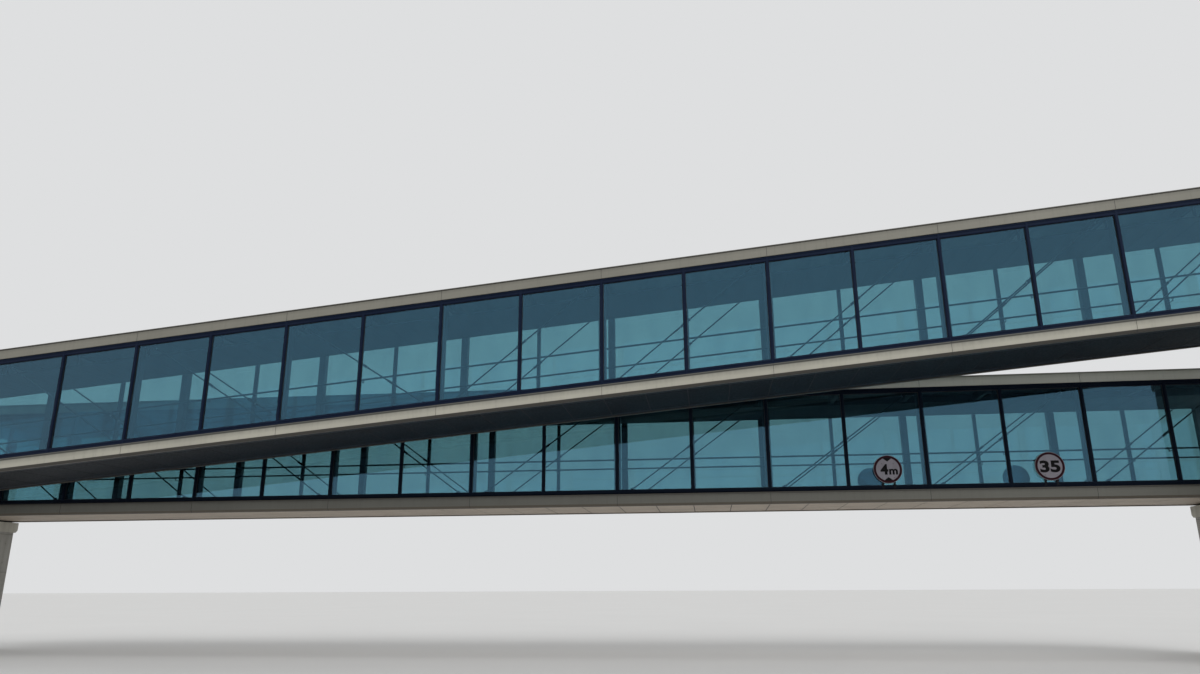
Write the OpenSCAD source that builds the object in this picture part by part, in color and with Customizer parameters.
// Fixed jet bridge: two glazed truss corridors side by side on concrete piers.
// The near one is a ramp that climbs to the right, the far one is level.
// X runs along the bridge, Y across it, Z up from the apron.

/* [Length] */
// Width of one glass panel, centre to centre of the mullions
panel_w = 2200; // [1800:50:2200]
// Structural bays along the bridge, two glass panels each
bays = 9; // [5:1:9]
// Bays, from the left, whose tie rods fall to the right
falling_bays = 4; // [0:1:5]

/* [Corridors] */
// Outside width of a corridor, glass line to glass line
corridor_w = 2750; // [2500:50:3200]
// Clear gap between the two corridors
gap_w = 900; // [600:50:1200]
// Apron to the soffit of the level corridor
level_clearance = 4210; // [3800:10:5000]
// Apron to the soffit of the ramp at the middle of the bridge
ramp_clearance = 6450; // [6200:10:7200]
// Rise of the ramp over one glass panel
panel_rise = 205; // [100:5:220]

/* [Section] */
// Height of the glass
glass_h = 2650; // [2400:50:2900]
// Height of the lower fascia above the soffit
low_fascia_h = 310; // [280:10:360]
// Drop of the lower fascia's edge below the soffit
skirt_drop = 30; // [0:5:45]
// Chamfer along the foot of the lower fascia
skirt_chamfer = 70; // [30:5:100]
// Height of the edge lip and of the shadow groove beside it, on both fascias
lip_h = 25; // [20:1:35]
// Height of the upper fascia
top_fascia_h = 280; // [240:10:340]
// Height of the dark rail below the glass
low_rail_h = 130; // [100:10:160]
// Height of the dark rail above the glass
top_rail_h = 140; // [100:10:180]
// Depth of the dark window frame, outside to inside
frame_d = 120; // [90:10:150]
// Width of a mullion
mullion_w = 90; // [40:5:100]
// Thickness of the glass
glass_t = 24; // [16:2:32]
// Height of the ceiling above the bottom of the glass
ceiling_h = 2400; // [2250:10:2400]

/* [Steelwork] */
// Width of a column along the bridge
column_w = 190; // [160:10:300]
// Depth of a column and of the edge beams across the bridge
column_d = 200; // [160:10:240]
// Height of the edge beams and cross beams
beam_h = 240; // [200:10:240]
// Width of a cross beam
cross_beam_w = 120; // [80:10:160]
// Diameter of the diagonal tie rods
rod_d = 40; // [30:5:60]
// Diameter of the handrail tube
handrail_d = 50; // [40:2:60]
// Height of the handrail above the bottom of the glass
handrail_h = 920; // [850:10:1000]

/* [Piers] */
// Pier shaft along the bridge
shaft_l = 700; // [600:50:1000]
// Pier shaft across the bridge
shaft_w = 2500; // [1800:50:2600]
// Distance from the end of the bridge to the centre of its pier
pier_inset = 380; // [380:10:1300]

/* [Signs] */
// Diameter of a round sign
sign_d = 790; // [600:10:900]

/* [Hidden] */
$fn = 48;
bridge_l = 2 * bays * panel_w;
bay_w = 2 * panel_w;
panels = 2 * bays;
slope = panel_rise / panel_w;

// Places across the bridge of the outer glass lines
outer_y = gap_w / 2 + corridor_w;
inner_y = gap_w / 2;

// Heights in a corridor's section, from the bottom of the glass
soffit_t = 40;
plate_t = 20;
portal_t = 40;
soffit_z = -low_rail_h - low_fascia_h;
skirt_z = soffit_z - skirt_drop;
low_beam_z = soffit_z + soffit_t;
low_beam_top = low_beam_z + beam_h;
deck_top = low_beam_top + 100;
frame_top = glass_h + top_rail_h;
top_beam_top = frame_top + beam_h;
roof_top = frame_top + top_fascia_h;
coping_t = 15;
portal_lip = 10;
portal_upstand = 35;
rim_t = 12;
rim_w = 60;
ceiling_t = 30;

// Depths in a side wall, inward from the outer glass line
skin_out = -40;
skin_in = skin_out + plate_t;
skin_back = skin_in + plate_t;
column_in = frame_d + column_d;
rod_n = frame_d + column_d / 2;
glass_n = 40;
handrail_n = column_in + 45;
let_in = 1;

// Bottom of the glass of each corridor at the middle of the bridge
level_base = level_clearance - soffit_z;
ramp_base = ramp_clearance - soffit_z;

// Pin joint of a tie rod
gusset_t = 20;
gusset_l = 300;
gusset_h = 180;
pin_back = 380;
fork_l = 150;
fork_h = 90;
fork_gap = 1;
fork_seat = 30;
cheek_t = 14;
pin_d = 34;
sleeve_l = 300;
sleeve_d = rod_d + 28;

// Handrail brackets, ceiling hangers and bearings
bracket_w = 60;
bracket_h = 100;
bracket_t = 8;
arm_t = 20;
arm_drop = 60;
saddle_t = 6;
seat_gap = 0.3;
hanger_w = 50;
hanger_inset = 300;
bearing_l = 300;
bearing_gap = 60;
cap_l = shaft_l + 40;
cap_w = corridor_w - 100;
cap_h = 330;
cap_tip_h = 250;
chamfer = 70;
tie_l = shaft_l - 2 * chamfer - 60;
tie_h = 600;
tie_drop = 800;

// Round signs: places as fractions of the bridge's length, height and thicknesses
height_sign_at = 0.75;
speed_sign_at = 0.86;
sign_z = 440;
sign_t = 25;
strap_w = 60;

pier_xs = [-bridge_l / 2 + pier_inset, bridge_l / 2 - pier_inset];

// A corridor is [height of the glass bottom at mid bridge, slope, near glass y, far glass y]
LEVEL = [level_base, 0, inner_y, outer_y];
RAMP = [ramp_base, slope, -outer_y, -inner_y];
NEAR = 0;
FAR = 1;

// Height in the world of a place z above the glass line at x
function world_z(c, x, z) = c[0] + c[1] * x + z;

// Place along the bridge of mullion i and of column k, kept inside the end portals
function inside(x, half) = max(-bridge_l / 2 + portal_t + half,
                               min(bridge_l / 2 - portal_t - half, x));
function mullion_x(i) = inside(-bridge_l / 2 + i * panel_w, mullion_w / 2);
function column_x(k) = inside(-bridge_l / 2 + k * bay_w, column_w / 2);
function cross_x(i) = inside(-bridge_l / 2 + i * panel_w, cross_beam_w / 2);

// y of a depth n measured inward from the outer glass line of a side
function side_y(c, side, n) = side == NEAR ? c[2] + n : c[3] - n;

// Prism with upright ends whose top and bottom follow the corridor's slope
module run(c, x0, x1, z0, z1, y0, y1) {
    translate([0, max(y0, y1), 0]) rotate([90, 0, 0])
        linear_extrude(abs(y1 - y0))
            polygon([[x0, world_z(c, x0, z0)], [x1, world_z(c, x1, z0)],
                     [x1, world_z(c, x1, z1)], [x0, world_z(c, x0, z1)]]);
}

// The same prism placed by its depths in a side wall
module wall_run(c, side, x0, x1, z0, z1, n0, n1) {
    run(c, x0, x1, z0, z1, side_y(c, side, n0), side_y(c, side, n1));
}

x_start = -bridge_l / 2 + portal_t;
x_end = bridge_l / 2 - portal_t;

// Underside cladding, notched round the bearings
module soffit(c) {
    difference() {
        run(c, x_start, x_end, soffit_z, low_beam_z, c[2] + frame_d, c[3] - frame_d);
        for (px = pier_xs, side = [NEAR, FAR])
            wall_run(c, side, px - bearing_l / 2 - plate_t, px + bearing_l / 2 + plate_t,
                     soffit_z - 10, low_beam_z + 10, frame_d - 10, column_in + plate_t);
    }
}

// Walking deck between the two trusses
module deck(c) {
    run(c, x_start, x_end, low_beam_top, deck_top, c[2] + column_in, c[3] - column_in);
}

// Crossing i of a corridor's ladder of beams: [centre along the bridge, half its width]
function crossing(i) = [cross_x(i), cross_beam_w / 2];
pier_crossings = [for (px = pier_xs) [px, bearing_l / 2]];
top_crossings = [for (i = [0 : panels]) crossing(i)];
low_crossings = concat([crossing(0), pier_crossings[0]],
                       [for (i = [1 : panels - 1]) crossing(i)],
                       [pier_crossings[1], crossing(panels)]);

// Two edge beams and their crossings, cut from one slab between the columns' outer faces
module beam_ladder(c, z0, z1, crossings) {
    difference() {
        run(c, x_start, x_end, z0, z1, c[2] + frame_d, c[3] - frame_d);
        for (i = [0 : len(crossings) - 2])
            run(c, crossings[i][0] + crossings[i][1],
                crossings[i + 1][0] - crossings[i + 1][1], z0 - beam_h, z1 + beam_h,
                c[2] + column_in, c[3] - column_in);
    }
}

// Lower beams, with a wide cross beam over each pier
module lower_beams(c) {
    beam_ladder(c, low_beam_z, low_beam_top, low_crossings);
}

// Upper beams, with the hangers that carry the ceiling
module upper_beams(c) {
    union() {
        beam_ladder(c, frame_top, top_beam_top, top_crossings);
        for (i = [1 : panels - 1], y = [c[2] + column_in + hanger_inset,
                                        c[3] - column_in - hanger_inset])
            run(c, cross_x(i) - hanger_w / 2, cross_x(i) + hanger_w / 2,
                ceiling_h + ceiling_t, frame_top + let_in, y - hanger_w / 2, y + hanger_w / 2);
    }
}

// Folded sheet: an outline of [depth, height] points drawn along the corridor's slope,
// between the heights z0 and z1, and cut upright at the end portals
module folded_sheet(c, side, z0, z1, outline) {
    tilt = atan(c[1]);
    inward = side == NEAR ? 1 : -1;
    intersection() {
        wall_run(c, side, x_start, x_end, z0 - plate_t, z1 + plate_t,
                 skin_out - plate_t, frame_d + plate_t);
        translate([0, side_y(c, side, 0), c[0]]) rotate([0, -tilt, 0])
            translate([-bridge_l, 0, 0]) rotate([90, 0, 90])
                linear_extrude(2 * bridge_l)
                    polygon([for (p = outline) [inward * p[0], p[1] * cos(tilt)]]);
    }
}

// Lower fascia: a lip and a groove under the window frame, the face, and a chamfered foot
module fascia_low(c, side) {
    top = -low_rail_h;
    groove = top - lip_h;
    face = groove - lip_h;
    fold = plate_t * tan(22.5);
    folded_sheet(c, side, skirt_z, top,
        [[frame_d, top], [skin_out, top], [skin_out, groove], [skin_in, groove],
         [skin_in, face], [skin_out, face], [skin_out, skirt_z + skirt_chamfer],
         [skin_out + skirt_chamfer, skirt_z], [frame_d, skirt_z],
         [frame_d, skirt_z + plate_t], [skin_out + skirt_chamfer + fold, skirt_z + plate_t],
         [skin_in, skirt_z + skirt_chamfer + fold], [skin_in, face - plate_t],
         [skin_back, face - plate_t], [skin_back, top - plate_t], [frame_d, top - plate_t]]);
}

// Upper fascia: the face, a groove and a lip, its top return lapped over the roof as a coping
module fascia_top(c, side) {
    top = roof_top + coping_t;
    groove = top - lip_h;
    face = groove - lip_h;
    folded_sheet(c, side, frame_top, top,
        [[frame_d, frame_top], [skin_out, frame_top], [skin_out, face], [skin_in, face],
         [skin_in, groove], [skin_out, groove], [skin_out, top], [frame_d, top],
         [frame_d, roof_top], [skin_back, roof_top], [skin_back, face - plate_t],
         [skin_in, face - plate_t], [skin_in, frame_top + plate_t],
         [frame_d, frame_top + plate_t]]);
}

// Dark window frame: a bottom rail, a top rail and a mullion at each panel line
module window_frame(c, side) {
    difference() {
        wall_run(c, side, x_start, x_end, -low_rail_h, frame_top, 0, frame_d);
        for (i = [0 : panels - 1])
            pane_run(c, side, i, -let_in, frame_d + let_in);
    }
}

// Space of pane i between its mullions and rails
module pane_run(c, side, i, n0, n1) {
    wall_run(c, side, mullion_x(i) + mullion_w / 2, mullion_x(i + 1) - mullion_w / 2,
             0, glass_h, n0, n1);
}

// One pane between each two mullions
module glass(c, side) {
    for (i = [0 : panels - 1])
        pane_run(c, side, i, glass_n, glass_n + glass_t);
}

// Truss columns of both sides, from edge beam to edge beam
module columns(c) {
    for (k = [0 : bays], side = [NEAR, FAR])
        wall_run(c, side, column_x(k) - column_w / 2, column_x(k) + column_w / 2,
                 low_beam_top, frame_top, frame_d, column_in);
}

// Gusset plate in the corner of column k and an edge beam; s points into the bay
module gusset(c, side, k, s, top) {
    x = column_x(k);
    seat = top ? frame_top : low_beam_top;
    up = top ? -1 : 1;
    function corner(dx, dz) = [x + s * (column_w / 2 + dx),
                               world_z(c, x + s * (column_w / 2 + dx), seat + up * dz)];
    translate([0, side_y(c, side, rod_n) + gusset_t / 2, 0]) rotate([90, 0, 0])
        linear_extrude(gusset_t)
            polygon([corner(0, 0), corner(gusset_l, 0), corner(gusset_l, gusset_h * 0.6),
                     corner(gusset_l * 0.85, gusset_h), corner(0, gusset_h)]);
}

// Fork end on a rod that lies along +X from the origin, its pin at the origin
module fork() {
    fork_w = gusset_t + 2 * (fork_gap + cheek_t);
    difference() {
        translate([-fork_h / 3, -fork_w / 2, -fork_h / 2])
            cube([fork_l + fork_h / 3 + fork_seat, fork_w, fork_h]);
        translate([-fork_h, -gusset_t / 2 - fork_gap, -fork_h])
            cube([fork_h + fork_l - fork_seat, gusset_t + 2 * fork_gap, 2 * fork_h]);
    }
    rotate([90, 0, 0])
        cylinder(d = pin_d, h = fork_w + 2 * cheek_t, center = true);
}

// Tie rod between two edge beam centres, forks and a tension sleeve included
module tie_rod(c, side, x_low, x_high) {
    z_low = world_z(c, x_low, (low_beam_z + low_beam_top) / 2);
    z_high = world_z(c, x_high, (frame_top + top_beam_top) / 2);
    reach = norm([x_high - x_low, z_high - z_low]);
    tilt = atan2(z_high - z_low, abs(x_high - x_low));
    clear_l = reach - 2 * pin_back;
    translate([x_low, side_y(c, side, rod_n), z_low])
        rotate([0, 0, x_high > x_low ? 0 : 180]) rotate([0, -tilt, 0])
            translate([pin_back, 0, 0]) {
                fork();
                translate([clear_l, 0, 0]) rotate([0, 180, 0]) fork();
                translate([fork_l, 0, 0]) rotate([0, 90, 0])
                    cylinder(d = rod_d, h = clear_l - 2 * fork_l);
                translate([(clear_l - sleeve_l) / 2, 0, 0]) rotate([0, 90, 0])
                    cylinder(d = sleeve_d, h = sleeve_l);
            }
}

// One tie rod with its two gussets in each bay of each side
module braces(c) {
    for (k = [0 : bays - 1], side = [NEAR, FAR]) {
        low_k = k < falling_bays ? k + 1 : k;
        high_k = k < falling_bays ? k : k + 1;
        union() {
            gusset(c, side, low_k, high_k - low_k, false);
            gusset(c, side, high_k, low_k - high_k, true);
            tie_rod(c, side, column_x(low_k), column_x(high_k));
        }
    }
}

// Handrail tube on each side, on a bracket at each mullion
module handrails(c) {
    rail_x = x_start + 20;
    tilt = atan(c[1]);
    for (side = [NEAR, FAR]) {
        translate([rail_x, side_y(c, side, handrail_n), world_z(c, rail_x, handrail_h)])
            rotate([0, 90 - tilt, 0])
                cylinder(d = handrail_d, h = (x_end - x_start - 40) / cos(tilt));
        for (i = [0 : panels])
            handrail_bracket(c, side, i);
    }
}

// Bracket from a column, or from a mullion between columns: a wall plate, an arm that runs
// in under the handrail, and a post with a saddle up to the tube
module handrail_bracket(c, side, i) {
    x = i % 2 == 0 ? column_x(i / 2) : mullion_x(i);
    back_n = i % 2 == 0 ? column_in : frame_d;
    top = handrail_h - handrail_d / 2 / cos(atan(c[1])) - seat_gap;
    arm = top - arm_drop;
    module piece(w, z0, z1, n0, n1) {
        wall_run(c, side, x - w / 2, x + w / 2, z0, z1, n0, n1);
    }
    union() {
        piece(bracket_w, arm - bracket_h / 2, arm + bracket_h / 2, back_n, back_n + bracket_t);
        piece(arm_t, arm - arm_t / 2, arm + arm_t / 2,
              back_n + bracket_t - let_in, handrail_n + arm_t / 2);
        piece(arm_t, arm - arm_t / 2, top - saddle_t + let_in,
              handrail_n - arm_t / 2, handrail_n + arm_t / 2);
        piece(bracket_w, top - saddle_t, top, handrail_n - arm_t, handrail_n + arm_t);
    }
}

module ceiling(c) {
    run(c, x_start, x_end, ceiling_h, ceiling_h + ceiling_t,
        c[2] + column_in, c[3] - column_in);
}

module roof(c) {
    run(c, x_start, x_end, top_beam_top, roof_top, c[2] + skin_back, c[3] - skin_back);
}

// Plain steel portal closing each end of a corridor, with a rim round its walkway
module end_portals(c) {
    for (s = [-1, 1])
        difference() {
            union() {
                portal_block(c, s, rim_t, portal_t - rim_t, skin_out - portal_lip,
                             skirt_z, roof_top + coping_t + portal_upstand);
                portal_block(c, s, 0, rim_t + let_in, column_in - rim_w,
                             deck_top - rim_w, ceiling_h + rim_w);
            }
            portal_block(c, s, -portal_t, 3 * portal_t, column_in, deck_top, ceiling_h);
        }
}

// Block at end s of the bridge, starting inset from the end and n deep in each side wall
module portal_block(c, s, inset, t, n, z0, z1) {
    mid_x = s * (bridge_l / 2 - inset - t / 2);
    run(c, mid_x - t / 2, mid_x + t / 2, z0, z1, c[2] + n, c[3] - n);
}

// Top of the pier cap, level and clear of the sloping underside
function cap_top(c, px) = world_z(c, px - cap_l / 2, soffit_z) - bearing_gap;

// Chamfered concrete shaft from the ground to its cap
module pier_shaft(c, px) {
    mid_y = (c[2] + c[3]) / 2;
    half_l = shaft_l / 2;
    half_w = shaft_w / 2;
    translate([px, mid_y, 0])
        linear_extrude(cap_top(c, px) - cap_h)
            polygon([[half_l - chamfer, -half_w], [half_l, -half_w + chamfer],
                     [half_l, half_w - chamfer], [half_l - chamfer, half_w],
                     [-half_l + chamfer, half_w], [-half_l, half_w - chamfer],
                     [-half_l, -half_w + chamfer], [-half_l + chamfer, -half_w]]);
}

// The two shafts at one end of the bridge, cast with the beam that ties them
module tied_shafts(px) {
    tie_y = (outer_y + inner_y) / 2 - shaft_w / 2 + let_in;
    union() {
        for (c = [LEVEL, RAMP])
            pier_shaft(c, px);
        translate([px - tie_l / 2, -tie_y, level_clearance - tie_drop - tie_h])
            cube([tie_l, 2 * tie_y, tie_h]);
    }
}

// Bearing cap under both edge beams, a little wider than its shaft
module pier_cap(c, px) {
    mid_y = (c[2] + c[3]) / 2;
    top = cap_top(c, px);
    translate([px - cap_l / 2, mid_y, 0]) rotate([90, 0, 90])
        linear_extrude(cap_l)
            polygon([[-cap_w / 2, top], [-cap_w / 2, top - cap_tip_h],
                     [-shaft_w / 2, top - cap_h], [shaft_w / 2, top - cap_h],
                     [cap_w / 2, top - cap_tip_h], [cap_w / 2, top]]);
}

// Bearing block between a pier cap and an edge beam, its top cut to the slope
module bearing(c, px, side) {
    x0 = px - bearing_l / 2;
    x1 = px + bearing_l / 2;
    top = cap_top(c, px);
    translate([0, max(side_y(c, side, frame_d), side_y(c, side, column_in)), 0])
        rotate([90, 0, 0]) linear_extrude(column_d)
            polygon([[x0, top], [x1, top], [x1, world_z(c, x1, low_beam_z)],
                     [x0, world_z(c, x0, low_beam_z)]]);
}

// Round sign plate on two straps from the level corridor's bottom rail
module road_sign(side, at) {
    x = -bridge_l / 2 + at * bridge_l;
    z = world_z(LEVEL, x, sign_z);
    translate([x, side_y(LEVEL, side, skin_out + sign_t / 2), z]) rotate([90, 0, 0])
        cylinder(d = sign_d, h = sign_t, center = true, $fn = 96);
    for (s = [-1, 1])
        wall_run(LEVEL, side, x + s * sign_d / 5 - strap_w / 2, x + s * sign_d / 5 + strap_w / 2,
                 -low_rail_h + 20, sign_z + sign_d / 4, skin_out + sign_t, 0);
}

module level_soffit() { color("tan") soffit(LEVEL); }
module level_floor() { color("dimgray") deck(LEVEL); }
module level_lower_beams() { color("#4a525e") lower_beams(LEVEL); }
module level_fascia_low_near() { color("darkkhaki") fascia_low(LEVEL, NEAR); }
module level_fascia_low_far() { color("darkkhaki") fascia_low(LEVEL, FAR); }
module level_frame_near() { color("#1c1a24") window_frame(LEVEL, NEAR); }
module level_frame_far() { color("#1c1a24") window_frame(LEVEL, FAR); }
module level_glass_near() { color("#2f6f80") glass(LEVEL, NEAR); }
module level_glass_far() { color("#2f6f80") glass(LEVEL, FAR); }
module level_columns() { color("#4a525e") columns(LEVEL); }
module level_braces() { color("#3a414b") braces(LEVEL); }
module level_handrails() { color("#4c535d") handrails(LEVEL); }
module level_upper_beams() { color("#4a525e") upper_beams(LEVEL); }
module level_ceiling() { color("#2a2d31") ceiling(LEVEL); }
module level_roof() { color("gray") roof(LEVEL); }
module level_fascia_top_near() { color("darkkhaki") fascia_top(LEVEL, NEAR); }
module level_fascia_top_far() { color("darkkhaki") fascia_top(LEVEL, FAR); }
module level_end_portals() { color("#24222c") end_portals(LEVEL); }
module ramp_soffit() { color("#1f262e") soffit(RAMP); }
module ramp_floor() { color("dimgray") deck(RAMP); }
module ramp_lower_beams() { color("#4a525e") lower_beams(RAMP); }
module ramp_fascia_low_near() { color("darkkhaki") fascia_low(RAMP, NEAR); }
module ramp_fascia_low_far() { color("darkkhaki") fascia_low(RAMP, FAR); }
module ramp_frame_near() { color("#1c1a24") window_frame(RAMP, NEAR); }
module ramp_frame_far() { color("#1c1a24") window_frame(RAMP, FAR); }
module ramp_glass_near() { color("#2f6f80") glass(RAMP, NEAR); }
module ramp_glass_far() { color("#2f6f80") glass(RAMP, FAR); }
module ramp_columns() { color("#4a525e") columns(RAMP); }
module ramp_braces() { color("#3a414b") braces(RAMP); }
module ramp_handrails() { color("#4c535d") handrails(RAMP); }
module ramp_upper_beams() { color("#4a525e") upper_beams(RAMP); }
module ramp_ceiling() { color("#2a2d31") ceiling(RAMP); }
module ramp_roof() { color("gray") roof(RAMP); }
module ramp_fascia_top_near() { color("darkkhaki") fascia_top(RAMP, NEAR); }
module ramp_fascia_top_far() { color("darkkhaki") fascia_top(RAMP, FAR); }
module ramp_end_portals() { color("#24222c") end_portals(RAMP); }

module pier_shafts_left() { color("#8d8f92") tied_shafts(pier_xs[0]); }
module pier_shafts_right() { color("#8d8f92") tied_shafts(pier_xs[1]); }
module pier_caps() {
    color("#c3c2b4") for (c = [LEVEL, RAMP], px = pier_xs) pier_cap(c, px);
}
module bearings() {
    color("#3c3e42") for (c = [LEVEL, RAMP], px = pier_xs, side = [NEAR, FAR])
        bearing(c, px, side);
}
module height_signs() {
    color("whitesmoke") for (side = [NEAR, FAR]) road_sign(side, height_sign_at);
}
module speed_signs() {
    color("whitesmoke") for (side = [NEAR, FAR]) road_sign(side, speed_sign_at);
}

level_soffit();
level_floor();
level_lower_beams();
level_fascia_low_near();
level_fascia_low_far();
level_frame_near();
level_frame_far();
level_glass_near();
level_glass_far();
level_columns();
level_braces();
level_handrails();
level_upper_beams();
level_ceiling();
level_roof();
level_fascia_top_near();
level_fascia_top_far();
level_end_portals();
ramp_soffit();
ramp_floor();
ramp_lower_beams();
ramp_fascia_low_near();
ramp_fascia_low_far();
ramp_frame_near();
ramp_frame_far();
ramp_glass_near();
ramp_glass_far();
ramp_columns();
ramp_braces();
ramp_handrails();
ramp_upper_beams();
ramp_ceiling();
ramp_roof();
ramp_fascia_top_near();
ramp_fascia_top_far();
ramp_end_portals();
pier_shafts_left();
pier_shafts_right();
pier_caps();
bearings();
height_signs();
speed_signs();
